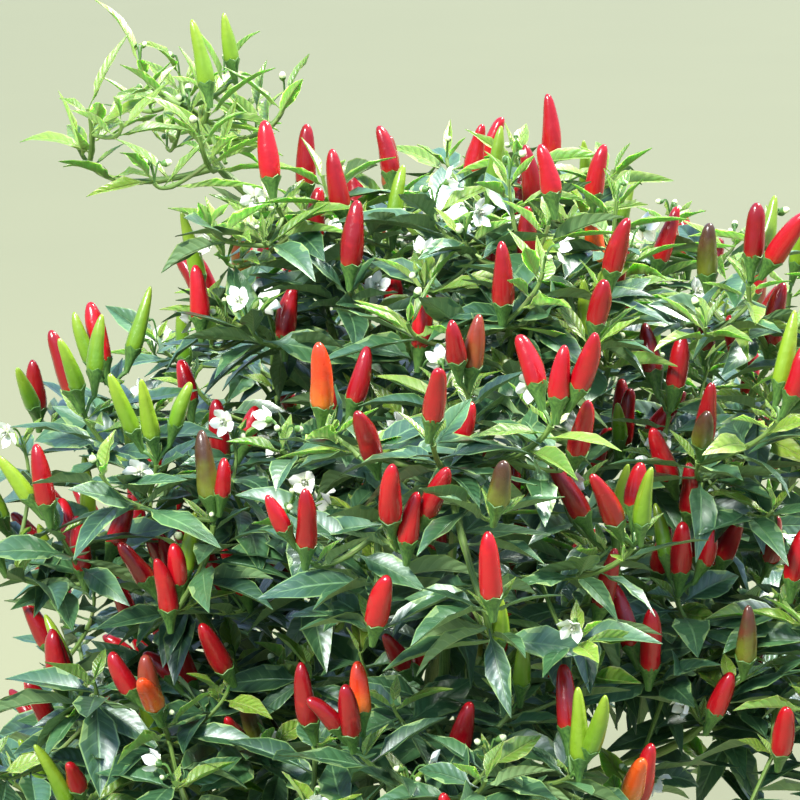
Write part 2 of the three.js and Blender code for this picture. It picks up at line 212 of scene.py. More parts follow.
class Finish:
    """A material made of nodes, or the world's air."""

    def __init__(self, name, owners="materials"):
        self.owner = getattr(bpy.data, owners).new(name)
        self.owner.use_nodes = True
        self.tree = self.owner.node_tree
        self.tree.nodes.clear()

    def node(self, kind, settings, inputs, output=None):
        """Adds a node: its settings first, then the values or links of its sockets. Gives one output."""
        made = self.tree.nodes.new("ShaderNode" + kind)
        for name, value in settings.items():
            setattr(made, name, value)
        sockets = {socket.identifier: socket for socket in made.inputs}
        for name, value in inputs.items():
            if isinstance(value, Wire):
                self.tree.links.new(value.socket, sockets[name])
            elif sockets[name].type == "RGBA":
                sockets[name].default_value = (*value, 1.0)
            else:
                sockets[name].default_value = value
        if output:
            return Wire(self, next(socket for socket in made.outputs if socket.identifier == output))

    def place(self, kind="Object"):
        return self.node("TexCoord", {}, {}, kind)

    def mark(self, name):
        return self.node("Attribute", {"attribute_name": name}, {}, "Vector")

    def parts(self, vector, axes):
        return [self.node("SeparateXYZ", {}, {"Vector": vector}, axis) for axis in axes]

    def cloud(self, vector, scale=1.0, detail=2.0):
        return self.node("TexNoise", {}, {"Vector": vector, "Scale": scale, "Detail": detail}, "Fac")

    def streaks(self, scales, detail=2.0, mark="grain"):
        """Clouds on a mark, which are drawn out along the ways where their scale is low."""
        inputs = {"Vector": self.mark(mark), "Vector_001": scales}
        stretched = self.node("VectorMath", {"operation": "MULTIPLY"}, inputs, "Vector")
        return self.cloud(stretched, detail=detail)

    def step(self, value, low, high):
        """0 below low, 1 above high, and smooth between them; low may be above high."""
        inputs = {"Value": value, "From Min": low, "From Max": high}
        return self.node("MapRange", {"interpolation_type": "SMOOTHSTEP"}, inputs, "Result")

    def mix(self, share, first, second):
        inputs = {"Factor_Float": share, "A_Color": first, "B_Color": second}
        return self.node("Mix", {"data_type": "RGBA"}, inputs, "Result_Color")

    def surface(self, colour, roughness, height, depth, **inputs):
        """The shader that it all feeds, with its bumps as high as depth, in metres."""
        named = {name.replace("_", " "): value for name, value in inputs.items()}
        named.update({"Base Color": colour, "Roughness": roughness})
        bumps = {"Height": height, "Distance": depth, "Strength": 1.0}
        named["Normal"] = self.node("Bump", {}, bumps, "Normal")
        self.node("OutputMaterial", {}, {"Surface": self.node("BsdfPrincipled", {}, named, "BSDF")})


def bark_relief(seed, angle, along):
    """Lengthwise ridges and shallow cracks, from about -1 to 1."""
    x, y = RIDGES_ROUND * cos(angle) + seed, RIDGES_ROUND * sin(angle)
    place = Vector((x, y, RIDGES_ALONG * along))
    return RIDGES_COARSE * noise.noise(place) + RIDGES_FINE * noise.noise(place * 2.3)


def add_limb(heap, curve, radius_at, limb_mesh, relief, seed):
    """Adds a limb whose bark stands out or sinks in by up to the relief."""
    def barked(along, angle):
        ridge = np.vectorize(lambda a, t: bark_relief(seed, a, t * curve.length))(angle, along)
        return radius_at(along, angle) + relief * ridge

    heap.add(*rings_along(curve, barked, *limb_mesh, LIMB_GRAIN * seed))


def stem_radius(along, angle):
    fade = np.exp(-along * STEM_HEIGHT / FLARE_HEIGHT)
    rib = FLARE_RIB_DEPTH * np.cos(FLARE_RIBS * angle) * np.sqrt(fade)
    return (tapered(STEM_RADII, along) + FLARE_RADIUS * fade) * (1 + rib)


old_bark = Finish("old_bark")
ridges = old_bark.streaks((0.9, 0.9, 0.10), 5.0)
specks = old_bark.streaks((1.6, 1.6, 1.1), 3.0)
uneven = (old_bark.streaks((0.25, 0.25, 0.06)) - 0.5) * 0.09
height = old_bark.parts(old_bark.place(), "Z")[0] + uneven
woody = old_bark.mix(old_bark.step(ridges, 0.38, 0.62), BARK_GREY, BARK_TAN)
green = old_bark.mix(old_bark.step(ridges, 0.35, 0.6), BARK_GREEN, BARK_LIGHT_GREEN)
colour = old_bark.mix(old_bark.step(height, *TURNS_GREEN), woody, green)
colour = old_bark.mix(old_bark.step(ridges, 0.36, 0.28), colour, BARK_CRACK)
colour = old_bark.mix(old_bark.step(specks, 0.66, 0.74) * 0.6, colour, BARK_SPECK)
old_bark.surface(colour, 0.62 + specks * 0.3, ridges * 0.8 + specks * 0.35, 0.0006)

stem_curve = Bend((0, 0, 0), (0, 0, 0.5 * STEM_HEIGHT), (*STEM_LEAN, STEM_HEIGHT))
stem_heap = Heap("stem_bark")
add_limb(stem_heap, stem_curve, stem_radius, STEM_MESH, BARK_RELIEF, STEM_SEED)
stem = stem_heap.make(old_bark)
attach(stem, "root")
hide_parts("stem")


# ---- Main boughs and leader ----
# Five main boughs leave the stem in a spiral, and the leader goes on from its top. Each swells into a
# collar where it leaves its parent, and its bark turns from tan to green on the way up.

CROWN_AXIS = np.array((26.0, 16.0, 0.0))
CROWN_CORE = CROWN_AXIS + 200 * UP
CROWN_TILT = 20
CROWN_LOW_SIDE = 172
SHOULDER_COUNT = 5
SHOULDER_TURN = 54
BOUGH_FIRST_Z = 66
BOUGH_STEP_Z = 11
BOUGH_RADII = (4.3, 3.1)
BOUGH_OUT = 62
BOUGH_TIP_Z = 196
BOUGH_TO_AXIS = 0.6
BOUGH_KNEE_OUT = 0.55
BOUGH_KNEE_UP = 0.36
BOUGH_MESH = (28, 56)
BOUGH_RELIEF = 0.3
BOUGH_SEED = 3
LEADER_RADII = (4.8, 2.3)
LEADER_OUT = 26
LEADER_TURN = 60
LEADER_TIP_Z = 392
LEADER_LEAN = 1.6
LEADER_MESH = (28, 96)
LEADER_SEED = 9
CLEARANCE = 0.35
COLLAR = 0.32
COLLAR_FADE = 1.6
NODE_SPACING = 34
NODE_SWELL = 0.07
EDGES = 5
EDGE_DEPTH = 0.035


def tilt_drop(azimuth):
    """How far the crown's tilt lowers what stands on one side of it."""
    return CROWN_TILT * cos(radians(azimuth - CROWN_LOW_SIDE))


def collared(radii, length):
    """A taper that swells where the limb leaves its parent and a little at each of its nodes."""
    def radius(along, angle):
        collar = COLLAR * np.exp(-along * length / (COLLAR_FADE * radii[0]))
        from_node = (along * length + 9) % NODE_SPACING - NODE_SPACING / 2
        nodes = NODE_SWELL * np.exp(-(from_node**2) / 6.0)
        edges = EDGE_DEPTH * np.cos(EDGES * angle)
        return tapered(radii, along) * (1 + collar + nodes + edges)

    return radius


main_curves = []
for k in range(SHOULDER_COUNT):
    azimuth = SHOULDER_TURN + 360 * k / SHOULDER_COUNT
    start = stem_curve.at((BOUGH_FIRST_Z + BOUGH_STEP_Z * (2 * k % SHOULDER_COUNT)) / STEM_HEIGHT)
    tip_z = BOUGH_TIP_Z - 0.5 * tilt_drop(azimuth)
    tip = BOUGH_TO_AXIS * CROWN_AXIS + BOUGH_OUT * heading(azimuth) + tip_z * UP
    knee = start + BOUGH_KNEE_OUT * (tip - start)
    knee[2] = start[2] + BOUGH_KNEE_UP * (tip[2] - start[2])
    main_curves.append(Bend(start, knee, tip))
leader_start = stem_curve.at(1.0) + CLEARANCE * UP
leader_tip = CROWN_AXIS + LEADER_OUT * heading(LEADER_TURN) + LEADER_TIP_Z * UP
leader_knee = (*[LEADER_LEAN * lean for lean in STEM_LEAN], 0.5 * (leader_start[2] + leader_tip[2]))
leader_curve = Bend(leader_start, leader_knee, leader_tip)

main_heap = Heap("main_boughs_bark")
for k, curve in enumerate(main_curves):
    radius = collared(BOUGH_RADII, curve.length)
    add_limb(main_heap, curve, radius, BOUGH_MESH, BOUGH_RELIEF, BOUGH_SEED + k)
radius = collared(LEADER_RADII, leader_curve.length)
add_limb(main_heap, leader_curve, radius, LEADER_MESH, BOUGH_RELIEF, LEADER_SEED)
main_boughs = main_heap.make(old_bark)
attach(main_boughs, "root")
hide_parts(*[f"main_bough_{k + 1}" for k in range(SHOULDER_COUNT)], "leader")


# ---- Side boughs ----
# Green boughs that leave the main boughs and the leader, each up to the mass of foliage that it carries.
# They are angular, as young chilli wood is, with darker lines between their edges.

SIDE_RADII = (2.9, 2.3)
SIDE_ARCH = 0.12
SIDE_MESH = (20, 40)
SIDE_RELIEF = 0.12
SIDE_SEED = 20
WOOD_GREEN = (0.085, 0.165, 0.030)
WOOD_LIGHT = (0.17, 0.27, 0.06)
WOOD_DARK = (0.035, 0.075, 0.016)
WOOD_TAN = (0.20, 0.16, 0.07)


def ring_of_masses(ring, count, turn, out, z, tilted, **form):
    """Masses of foliage in a ring round the crown's axis, each about a heart of its own."""
    masses = []
    for k in range(count):
        azimuth = turn + 360 * k / count
        heart = CROWN_AXIS + out * heading(azimuth) + (z - tilted * tilt_drop(azimuth)) * UP
        side = f"{ring}_{'back' if azimuth < 180 else 'front'}" if tilted else ring
        masses.append(SimpleNamespace(
            name=f"foliage_{ring}_{k + 1}", ring=ring, side=side, azimuth=azimuth, heart=heart,
            tips=10, fine_tips=15, fruit=0.9, **form,
        ))
    return masses


skirts = ring_of_masses(
    "skirt", count=6, turn=30, out=168, z=240, tilted=1.1, spread=86, rise=88, shade_tips=8)
shoulders = ring_of_masses(
    "shoulder", SHOULDER_COUNT, SHOULDER_TURN, out=162, z=380, tilted=1.7, spread=88, rise=78, shade_tips=5)
crests = ring_of_masses(
    "crest", count=3, turn=60, out=70, z=460, tilted=0, spread=76, rise=60, shade_tips=3)
leaning_shoot = SimpleNamespace(
    name="foliage_leaning_shoot", ring="crest", side="crest", heart=np.array((-108.0, 60.0, 530.0)),
    spread=66, rise=34, tips=8, fine_tips=8, shade_tips=0, fruit=0.25,
)
masses = [*skirts, *shoulders, *crests, leaning_shoot]

# For each mass, the limb that its bough leaves, how far along that is, and how far towards the mass's
# heart the bough reaches.
plan = [(shoulders[k], main_curves[k], 1.0, 0.6) for k in range(SHOULDER_COUNT)]
taken = set()
for mass in skirts:
    turns = [abs(round((other.azimuth - mass.azimuth + 180) % 360 - 180)) for other in shoulders]
    nearest = turns.index(min(turns))
    plan.append((mass, main_curves[nearest], 0.66 if nearest in taken else 0.84, 0.55))
    taken.add(nearest)
plan += [(crests[1], leader_curve, 0.62, 0.6), (crests[2], leader_curve, 0.72, 0.6)]
plan.append((leaning_shoot, leader_curve, 0.86, 0.84))

side_curves = []
for mass, parent, leaves_at, reach in plan:
    start = parent.at(leaves_at)
    tip = start + reach * (mass.heart - start)
    knee = 0.5 * (start + tip) + SIDE_ARCH * norm(tip - start) * parent.way(leaves_at)
    mass.limb = Bend(start, knee, tip)
    side_curves.append(mass.limb)
crests[0].limb = leader_curve

green_wood = Finish("green_wood")
streaks = green_wood.streaks((2.2, 2.2, 0.07), 3.0)
patches = green_wood.streaks((0.3, 0.3, 0.05))
colour = green_wood.mix(green_wood.step(streaks, 0.35, 0.65), WOOD_GREEN, WOOD_LIGHT)
colour = green_wood.mix(green_wood.step(streaks, 0.42, 0.3), colour, WOOD_DARK)
colour = green_wood.mix(green_wood.step(patches, 0.55, 0.75) * 0.5, colour, WOOD_TAN)
green_wood.surface(colour, 0.38 + patches * 0.3, streaks, 0.00025, Specular_IOR_Level=0.4)

side_heap = Heap("side_boughs_green")
for k, curve in enumerate(side_curves):
    add_limb(side_heap, curve, collared(SIDE_RADII, curve.length), SIDE_MESH, SIDE_RELIEF, SIDE_SEED + k)
side_boughs = side_heap.make(green_wood)
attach(side_boughs, "root")
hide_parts(*[f"side_bough_{k + 1}" for k in range(len(side_curves))])


# ---- Twigs ----
# Green shoots that fork again and again inside each mass of foliage, from one stemlet that goes on from
# its bough's tip. Tips are sown by seeded throws, far apart; finer shoots fill in between, and shaded ones
# fill the crown's inside.

STEMLET_RADII = (2.3, 1.5)
STEMLET_LIFT = 0.25
STEMLET_KNEE = 0.4
TWIG_RADII = (1.6, 1.1)
TWIG_MESH = (8, 14)
FINE_RADII = (1.2, 0.85)
FINE_MESH = (6, 10)
FINE_LEAN = 0.5
FINE_SWAY = 0.3
FINE_OFFERS = (0.4, 0.7)
TWIG_SHORTEST = 16
TWIG_KNEE = 0.42
TWIG_LEAN = 0.32
TWIG_SWAY = 0.22
TWIG_GRAIN = 60.0
FRUIT_STALK = 15
FRUIT_LENGTH = (24, 32)
FINE_FRUIT_LENGTH = (22, 31)
FRUIT_BOW = (-4, 4)
BARE_TIP = 3
LEADER_CORE_RADII = (4.4, 2.3)
LIMB_SAMPLES = 25
# How far tips, knees and twigs keep clear, and how far a mass's tips may lie on its inner side.
TIP_MARGIN = 9
KNEE_MARGIN = 4.5
LIMB_MARGIN = 2.5
CANDIDATES = 14
INNER = 0.3
FINE_INNER = 0.7
FINE_SEED = 51
FINE_FRUIT = {"skirt": 0.42, "shoulder": 0.42, "crest": 0.2}
SHADE_SEED = 91
SHADE_FRUIT = 0.2
SHADE_SPREAD = 0.75
SHADE_LEVELS = {"skirt": (-0.2, 1.15), "shoulder": (-1.3, 0.2), "crest": (-1.1, 0.3)}


def dice(seed):
    """Seeded throws between a low and a high number, the same ones on every run."""
    state = seed * 7919 + 104729

    def roll(low, high):
        nonlocal state
        state = state * 48271 % 2147483647
        return low + (high - low) * state / 2147483647

    return roll


hearts = np.array([mass.heart for mass in masses])
limbs = [(stem_curve, STEM_RADII), *[(curve, BOUGH_RADII) for curve in main_curves]]
limbs += [(leader_curve, LEADER_CORE_RADII), *[(curve, SIDE_RADII) for curve in side_curves]]
limb_shares = np.linspace(0, 1, LIMB_SAMPLES)
limb_points = np.concatenate([curve.at(limb_shares) for curve, _ in limbs])
limb_radii = np.concatenate([tapered(radii, limb_shares) for _, radii in limbs])
limb_radii[:LIMB_SAMPLES] = [stem_radius(share, 0.0) for share in limb_shares]


def room_at(point, mass):
    """How far a point is inside the flat walls of the space that belongs to a mass."""
    others = np.array([other is not mass for other in masses])
    own = ((point - mass.heart) ** 2).sum()
    apart = norm(hearts[others] - mass.heart, axis=1)
    return ((((point - hearts[others]) ** 2).sum(axis=1) - own) / (2 * apart)).min()


def facing_at(point):
    return unit(point - CROWN_CORE)


def throw_outside(mass, roll, furthest, inner):
    """A spot in the mass, or none where it would lie too far on its inner side."""
    height = roll(-0.7, 1)
    turn = roll(0, 2 * pi)
    reach = roll(0.2, furthest) ** (1 / 3)
    ring = mass.spread * reach * sqrt(1 - height * height)
    offset = np.array((ring * cos(turn), ring * sin(turn), mass.rise * reach * height))
    return mass.heart + offset if offset @ facing_at(mass.heart) > -inner * mass.spread else None


def throw_inside(mass, roll):
    """A spot on the mass's inner side, towards the crown's axis, where the light is low."""
    share = roll(0.05, 0.95)
    spot = np.array((roll(-1, 1), roll(-1, 1), roll(*SHADE_LEVELS[mass.ring])))
    inward = CROWN_AXIS + mass.heart * UP - mass.heart
    wide = SHADE_SPREAD * mass.spread
    return mass.heart + share * inward + spot * (wide, wide, mass.rise)


def sow(mass, roll, sown, count, margin, throw, *limits):
    """Tips that are sown one by one, each on the throw that lies furthest from all the others."""
    tips = []
    for _ in range(count):
        thrown = [throw(mass, roll, *limits) for _ in range(CANDIDATES)]
        fitting = [spot for spot in thrown if spot is not None and room_at(spot, mass) > margin]
        if fitting:
            tips.append(max(fitting, key=lambda spot: min(norm(other - spot) for other in sown)))
            sown.append(tips[-1])
    return tips


def lead_twig(tip, offers, mass):
    """A twig leaves the best placed of the points that earlier wood offers, and rises to its tip."""
    def cost(offer):
        way = tip - offer[0]
        length = norm(way)
        return inf if length < TWIG_SHORTEST else length * (1.7 - 0.7 * (way / length) @ offer[1])

    start = min(offers, key=cost)[0]
    rising = unit(0.6 * facing_at(tip) + 0.75 * UP)
    knee = tip - TWIG_KNEE * norm(tip - start) * rising
    if room_at(knee, mass) < KNEE_MARGIN:
        knee = 0.5 * (start + tip)
    return Bend(start, knee, tip)


def is_clear(curve):
    points = curve.at(np.linspace(0, 1, 9)[1:])
    gaps = norm(points[:, None] - limb_points, axis=2) - limb_radii
    return gaps.min() > LIMB_MARGIN


def offers_of(curve, shares):
    return [(curve.at(share), curve.way(share)) for share in shares]


def sway_of(roll, most):
    return np.array((roll(-most, most), roll(-most, most), 0.0))


def fine_twig(curve, roll, sway, shade, nodes, fruitful_share):
    return SimpleNamespace(
        curve=curve, radii=FINE_RADII, fine=True, shade=shade, nodes=nodes,
        fruitful=roll(0, 1) < fruitful_share, axis=unit(UP + FINE_LEAN * facing_at(curve.tip) + sway),
        fruit_length=roll(*FINE_FRUIT_LENGTH), bow=roll(*FRUIT_BOW), turn=roll(0, 360),
    )


twigs = []
for index, mass in enumerate(masses):
    roll = dice(index + 1)
    way = mass.limb.way(1.0)
    foot = mass.limb.at(1.0) + CLEARANCE * way
    heart = mass.heart + STEMLET_LIFT * mass.rise * UP
    stemlet = Bend(foot, foot + STEMLET_KNEE * norm(heart - foot) * way, heart)
    own = [SimpleNamespace(curve=stemlet, radii=STEMLET_RADII, nodes=(0.5, 0.75))]
    offers = offers_of(stemlet, (0.25, 0.5, 0.75, 1.0))
    sown = [foot]
    for tip in sow(mass, roll, sown, mass.tips, TIP_MARGIN, throw_outside, 1.0, INNER):
        curve = lead_twig(tip, offers, mass)
        if is_clear(curve):
            own.append(SimpleNamespace(curve=curve, radii=TWIG_RADII, nodes=(0.3, 0.55)))
            offers += offers_of(curve, (0.3, 0.55, 0.8))
    for twig in own:
        twig.axis = unit(UP + TWIG_LEAN * facing_at(twig.curve.tip) + sway_of(roll, TWIG_SWAY))
        twig.fruit_length, twig.bow, twig.turn = roll(*FRUIT_LENGTH), roll(*FRUIT_BOW), roll(0, 360)
        twig.fruitful = roll(0, 1) < mass.fruit
        twig.fine = twig.shade = False
    sown.append(heart)
    roll = dice(index + FINE_SEED)
    for tip in sow(mass, roll, sown, mass.fine_tips, TIP_MARGIN, throw_outside, 1.1, FINE_INNER):
        curve = lead_twig(tip, offers, mass)
        sway = sway_of(roll, FINE_SWAY)
        if is_clear(curve):
            own.append(fine_twig(curve, roll, sway, False, (0.5,), FINE_FRUIT[mass.ring] * mass.fruit))
            offers += offers_of(curve, FINE_OFFERS)
    roll = dice(index + SHADE_SEED)
    for tip in sow(mass, roll, sown, mass.shade_tips, KNEE_MARGIN, throw_inside):
        curve = lead_twig(tip, offers, mass)
        if is_clear(curve):
            own.append(fine_twig(curve, roll, 0.0, True, (0.4, 0.7), SHADE_FRUIT))
            offers += offers_of(curve, FINE_OFFERS)
    for twig in own:
        twig.mass = mass
    twigs += own

twig_heap = Heap("twigs")
for k, twig in enumerate(twigs):
    twig.bare = min(0.8, (FRUIT_STALK if twig.fruitful else BARE_TIP) / twig.curve.length)
    nodes = np.array((*twig.nodes, 1.0)) * (1 - twig.bare)

    def twig_radius(along, angle):
        away = np.abs(along[..., None] - nodes).min(axis=-1) * twig.curve.length
        swell = 0.32 * np.exp(-((away / 2.2) ** 2))
        return tapered(twig.radii, along) * (1 + swell + 0.06 * np.cos(4 * angle))

    twig_mesh = FINE_MESH if twig.fine else TWIG_MESH
    twig_heap.add(*rings_along(twig.curve, twig_radius, *twig_mesh, TWIG_GRAIN * k, end=1 - twig.bare))
twig_piece = twig_heap.make(green_wood)
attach(twig_piece, "root")


# ---- Fruit stalks and calyxes ----
# A fruit stands on a stalk that rises from the node where the leaves are, and that widens into a green
# calyx: a shallow cup with five blunt teeth that clasps the fruit's foot.

STALK_RADII = (0.85, 1.3)
STALK_MESH = (6, 6)
STALK_GRAIN = 30.0
CALYX_LENGTH = 5
CALYX_DEPTH = 6.5
CALYX_SIDES = 10
CALYX_TURN = 37
SUNK = 2.4
CALYX_PROFILE = (
    (1.35, -6.9), (1.9, -3.2), (2.6, 0.2), (3.45, 2.6), (4.2, 4.4), (4.7, 6.2), (4.35, 6.5), (3.5, 5.2),
)
STALK_GREEN = (0.036, 0.105, 0.022)
STALK_LIGHT = (0.10, 0.215, 0.040)
STALK_PATCH = (0.06, 0.13, 0.02)
BEYOND = 17
REACH_LOW = 1000 * np.array(cad_box[0]) - BEYOND
REACH_HIGH = 1000 * np.array(cad_box[1]) + BEYOND


class Taken:
    """Space that is already in use, kept as small balls in a grid of cells. A ball costs its weight."""

    CELL = 10.0
    OUTSIDE = 6
    LIMB, TWIG, FRUIT, FLOWER, LEAF = 3, 2, 4, 3, 1

    def __init__(self):
        self.cells = {}

    def add(self, points, radius, weight):
        for point in points.tolist():
            ends = [(int((c - radius) // self.CELL), int((c + radius) // self.CELL)) for c in point]
            for cell in product(*[range(first, last + 1) for first, last in ends]):
                self.cells.setdefault(cell, []).append((*point, radius * radius, weight))

    def hits(self, points):
        """How much of what is in use these points run into. Beyond the crown's reach nothing is free."""
        total = self.OUTSIDE * int(np.any((points < REACH_LOW) | (points > REACH_HIGH)))
        for x, y, z in points.tolist():
            cell = (int(x // self.CELL), int(y // self.CELL), int(z // self.CELL))
            for a, b, c, reach, weight in self.cells.get(cell, ()):
                if (x - a) ** 2 + (y - b) ** 2 + (z - c) ** 2 < reach:
                    total += weight
                    break
        return total


space = Taken()
for curve, radii in limbs:
    spots = curve.at(np.linspace(0, 1, int(curve.length / 4)))
    space.add(spots, 0.5 * sum(radii) + 0.6, Taken.LIMB)
for twig in twigs:
    spots = twig.curve.at(np.linspace(0, 1, max(4, int(twig.curve.length / 5))))
    space.add(spots, 2.2, Taken.TWIG)

# How many fruit stand beside a twig's own one, and how ripe they are in each place.
CROWD_ODDS = (0.42, 0.34, 0.19, 0.05)
FRUIT_KINDS = ("red", "orange", "green", "turning")
FRUIT_SHARES = {
    "skirt": (0.81, 0.02, 0.11, 0.06),
    "shoulder": (0.68, 0.02, 0.16, 0.14),
    "crest": (0.72, 0.02, 0.14, 0.12),
    "left": (0.22, 0.00, 0.70, 0.08),
    "shoot": (0.0, 0.0, 1.0, 0.0),
}
LEFT_OF, LEFT_ABOVE = -105, 330
CROWD_LEAN = (0.24, 0.56)
CROWD_TURN = 118
CROWD_RISE = (11, 17)
CROWD_OUT = (3, 5)
CROWD_LENGTH = (17, 31)
GREEN_GIRTH = 0.82
GREEN_LENGTH = 1.12
FRUIT_ROOM = 6.2

rng = np.random.RandomState(11)
fruits = []
for twig in twigs:
    if not twig.fruitful:
        continue
    node = twig.curve.at(1 - twig.bare)
    stalk_knee = twig.curve.at(1 - 0.5 * twig.bare)
    offered = [(twig.curve.tip - SUNK * twig.axis, twig.axis, twig.fruit_length, twig.bow, stalk_knee)]
    spin = rng.uniform(0, 360)
    crowd = rng.choice(4, p=CROWD_ODDS)
    if twig.mass.ring == "crest" or twig.mass is shoulders[0]:
        crowd = 0
    for extra in range(crowd):
        lean = rng.uniform(*CROWD_LEAN)
        sideways = heading(spin + CROWD_TURN * extra + rng.uniform(-18, 18))
        axis = unit(twig.axis + lean * sideways)
        root = node + axis * rng.uniform(*CROWD_RISE) + sideways * rng.uniform(*CROWD_OUT)
        knee = node + 0.5 * norm(root - node) * unit(twig.axis + 1.5 * lean * sideways)
        offered.append((root, axis, rng.uniform(*CROWD_LENGTH), rng.uniform(*FRUIT_BOW), knee))
    ripens_as = "left" if node[0] < LEFT_OF and node[2] > LEFT_ABOVE else twig.mass.ring
    if twig.mass is leaning_shoot:
        ripens_as = "shoot"
    for root, axis, length, bow, knee in offered:
        kind = rng.choice(FRUIT_KINDS, p=FRUIT_SHARES[ripens_as])
        length *= GREEN_LENGTH if kind == "green" else 1
        girth = (0.86 + 0.010 * length - 0.12 * (length < 20)) * (GREEN_GIRTH if kind == "green" else 1)
        body = root + axis * (CALYX_LENGTH + length * np.linspace(0.1, 1, 7)[:, None])
        if space.hits(body) == 0:
            whole = root + axis * np.linspace(0, CALYX_LENGTH + length, 9)[:, None]
            space.add(whole, FRUIT_ROOM, Taken.FRUIT)
            fruits.append(SimpleNamespace(
                root=root, axis=axis, length=length, girth=girth, bow=bow, node=node, knee=knee, kind=kind))


def frame_round(axis, turn):
    """Two ways across an axis, turned round it by degrees."""
    first = unit(np.cross(axis, (0.31, 0.87, 0.12)))
    second = np.cross(axis, first)
    c, s = cos(radians(turn)), sin(radians(turn))
    return c * first + s * second, c * second - s * first


def turned(profile, axis, root, sides, turn=0, shape=None):
    """Rings of a body turned on an axis. Shape may change each ring's radius and height at each angle."""
    x_way, y_way = frame_round(axis, turn)
    profile = np.array(profile, float)
    angle = angles_round(sides)
    radius = profile[:, :1] * np.ones(sides)
    height = profile[:, 1:] * np.ones(sides)
    if shape:
        radius, height = shape(radius, height, angle)
    rings = root + x_way * (radius * np.cos(angle))[..., None] + y_way * (radius * np.sin(angle))[..., None]
    return rings + axis * height[..., None]


def toothed(radius, height, angle):
    """Five blunt teeth on the calyx's rim, and five faint ribs below them."""
    tooth = np.cos(5 * angle)
    late = np.clip((height - 3.0) / 3.0, 0, 1)
    return radius * (1 + 0.03 * tooth * (1 - late)), height + 0.75 * tooth * late


def stalk_radius(along, angle):
    return tapered(STALK_RADII, along**2)


stalk_finish = Finish("stalk_and_calyx")
streaks = stalk_finish.streaks((1.2, 1.2, 0.12), 3.0)
patches = stalk_finish.streaks((0.2, 0.2, 0.05))
colour = stalk_finish.mix(stalk_finish.step(streaks, 0.3, 0.7), STALK_GREEN, STALK_LIGHT)
colour = stalk_finish.mix(stalk_finish.step(patches, 0.5, 0.8) * 0.5, colour, STALK_PATCH)
stalk_finish.surface(colour, 0.34 + patches * 0.2, streaks, 0.0002, Specular_IOR_Level=0.45)

calyx_heap = Heap("stalks_and_calyxes")
for k, fruit in enumerate(fruits):
    stalk = Bend(fruit.node, fruit.knee, fruit.root - CALYX_DEPTH * fruit.axis)
    calyx_heap.add(*rings_along(stalk, stalk_radius, *STALK_MESH, STALK_GRAIN * k))
    profile = [(radius * fruit.girth, height) for radius, height in CALYX_PROFILE]
    rings = turned(profile, fruit.axis, fruit.root, CALYX_SIDES, CALYX_TURN * k, toothed)
    onward = STALK_GRAIN * k + np.arange(len(profile))[:, None]
    calyx_heap.add(rings, np.linspace(0, 14, CALYX_SIDES), onward, 0.0)
calyxes = calyx_heap.make(stalk_finish)
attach(calyxes, "root")


# ---- Fruit ----
# Small upright chillies, 17 to 36 mm long: firm, thin skinned and glossy, a little lumpy and bowed, with
# a blunt tip. They ripen from lime green by olive and purplish brown to orange and a deep red.

# A radius, and a height: in millimetres below the calyx's rim, and a share of the fruit's length above it.
FRUIT_PROFILE = (
    (3.0, -1.2), (4.2, 0.02), (4.58, 0.10), (4.72, 0.22), (4.66, 0.37), (4.46, 0.51),
    (4.14, 0.65), (3.64, 0.78), (2.92, 0.885), (2.02, 0.955), (1.1, 0.99), (0.05, 1.0),
)
FRUIT_SIDES = 12
RIPE_TAPER = (0.02, 0.28)
GREEN_TAPER = (0.22, 0.42)


def start_skin(name):
    """A skin's finish, how far along the fruit a point is, the fruit's own tone, and blotches."""
    finish = Finish(name)
    along, tone = finish.parts(finish.mark("skin"), "YZ")
    return finish, along, tone, finish.cloud(finish.place(), scale=150.0, detail=3.0)


def gloss_coat(skin, colour, roughness):
    """A thin glossy coat over low lumps."""
    lumps = skin.cloud(skin.place(), scale=170.0, detail=2.0)
    pores = skin.cloud(skin.place(), scale=1600.0, detail=1.0)
    skin.surface(
        colour, roughness + lumps * 0.1, lumps + pores * 0.12, 0.0006,
        Coat_Weight=0.45, Coat_Roughness=0.16, Specular_IOR_Level=0.35,
    )
    return skin


skin, along, tone, blotch = start_skin("red_skin")
colour = skin.mix(tone, (0.20, 0.002, 0.005), (0.43, 0.004, 0.010))
colour = skin.mix(skin.step(blotch, 0.55, 0.8) * 0.4, colour, (0.56, 0.012, 0.012))
colour = skin.mix(skin.step(along, 0.16, 0.0) * 0.35, colour, (0.50, 0.06, 0.012))
red_skin = gloss_coat(skin, colour, 0.20)

skin, along, tone, blotch = start_skin("orange_skin")
colour = skin.mix(tone, (0.60, 0.030, 0.006), (0.66, 0.085, 0.010))
unripe = skin.step(along + blotch * 0.6, 0.9, 0.3) * 0.55
orange_skin = gloss_coat(skin, skin.mix(unripe, colour, (0.52, 0.20, 0.02)), 0.22)

skin, along, tone, blotch = start_skin("green_skin")
colour = skin.mix(tone, (0.085, 0.205, 0.010), (0.20, 0.33, 0.018))
pale_tip = skin.step(along + blotch * 0.5, 0.5, 1.3) * 0.6
green_skin = gloss_coat(skin, skin.mix(pale_tip, colour, (0.27, 0.36, 0.025)), 0.24)

skin, along, tone, blotch = start_skin("turning_skin")
dark_tip = skin.step(along + blotch * 0.7, 0.35, 1.15)
colour = skin.mix(dark_tip, (0.130, 0.155, 0.014), (0.062, 0.026, 0.013))
ripe = skin.step(tone + blotch * 0.5, 0.75, 1.25) * 0.8
turning_skin = gloss_coat(skin, skin.mix(ripe, colour, (0.27, 0.030, 0.012)), 0.24)

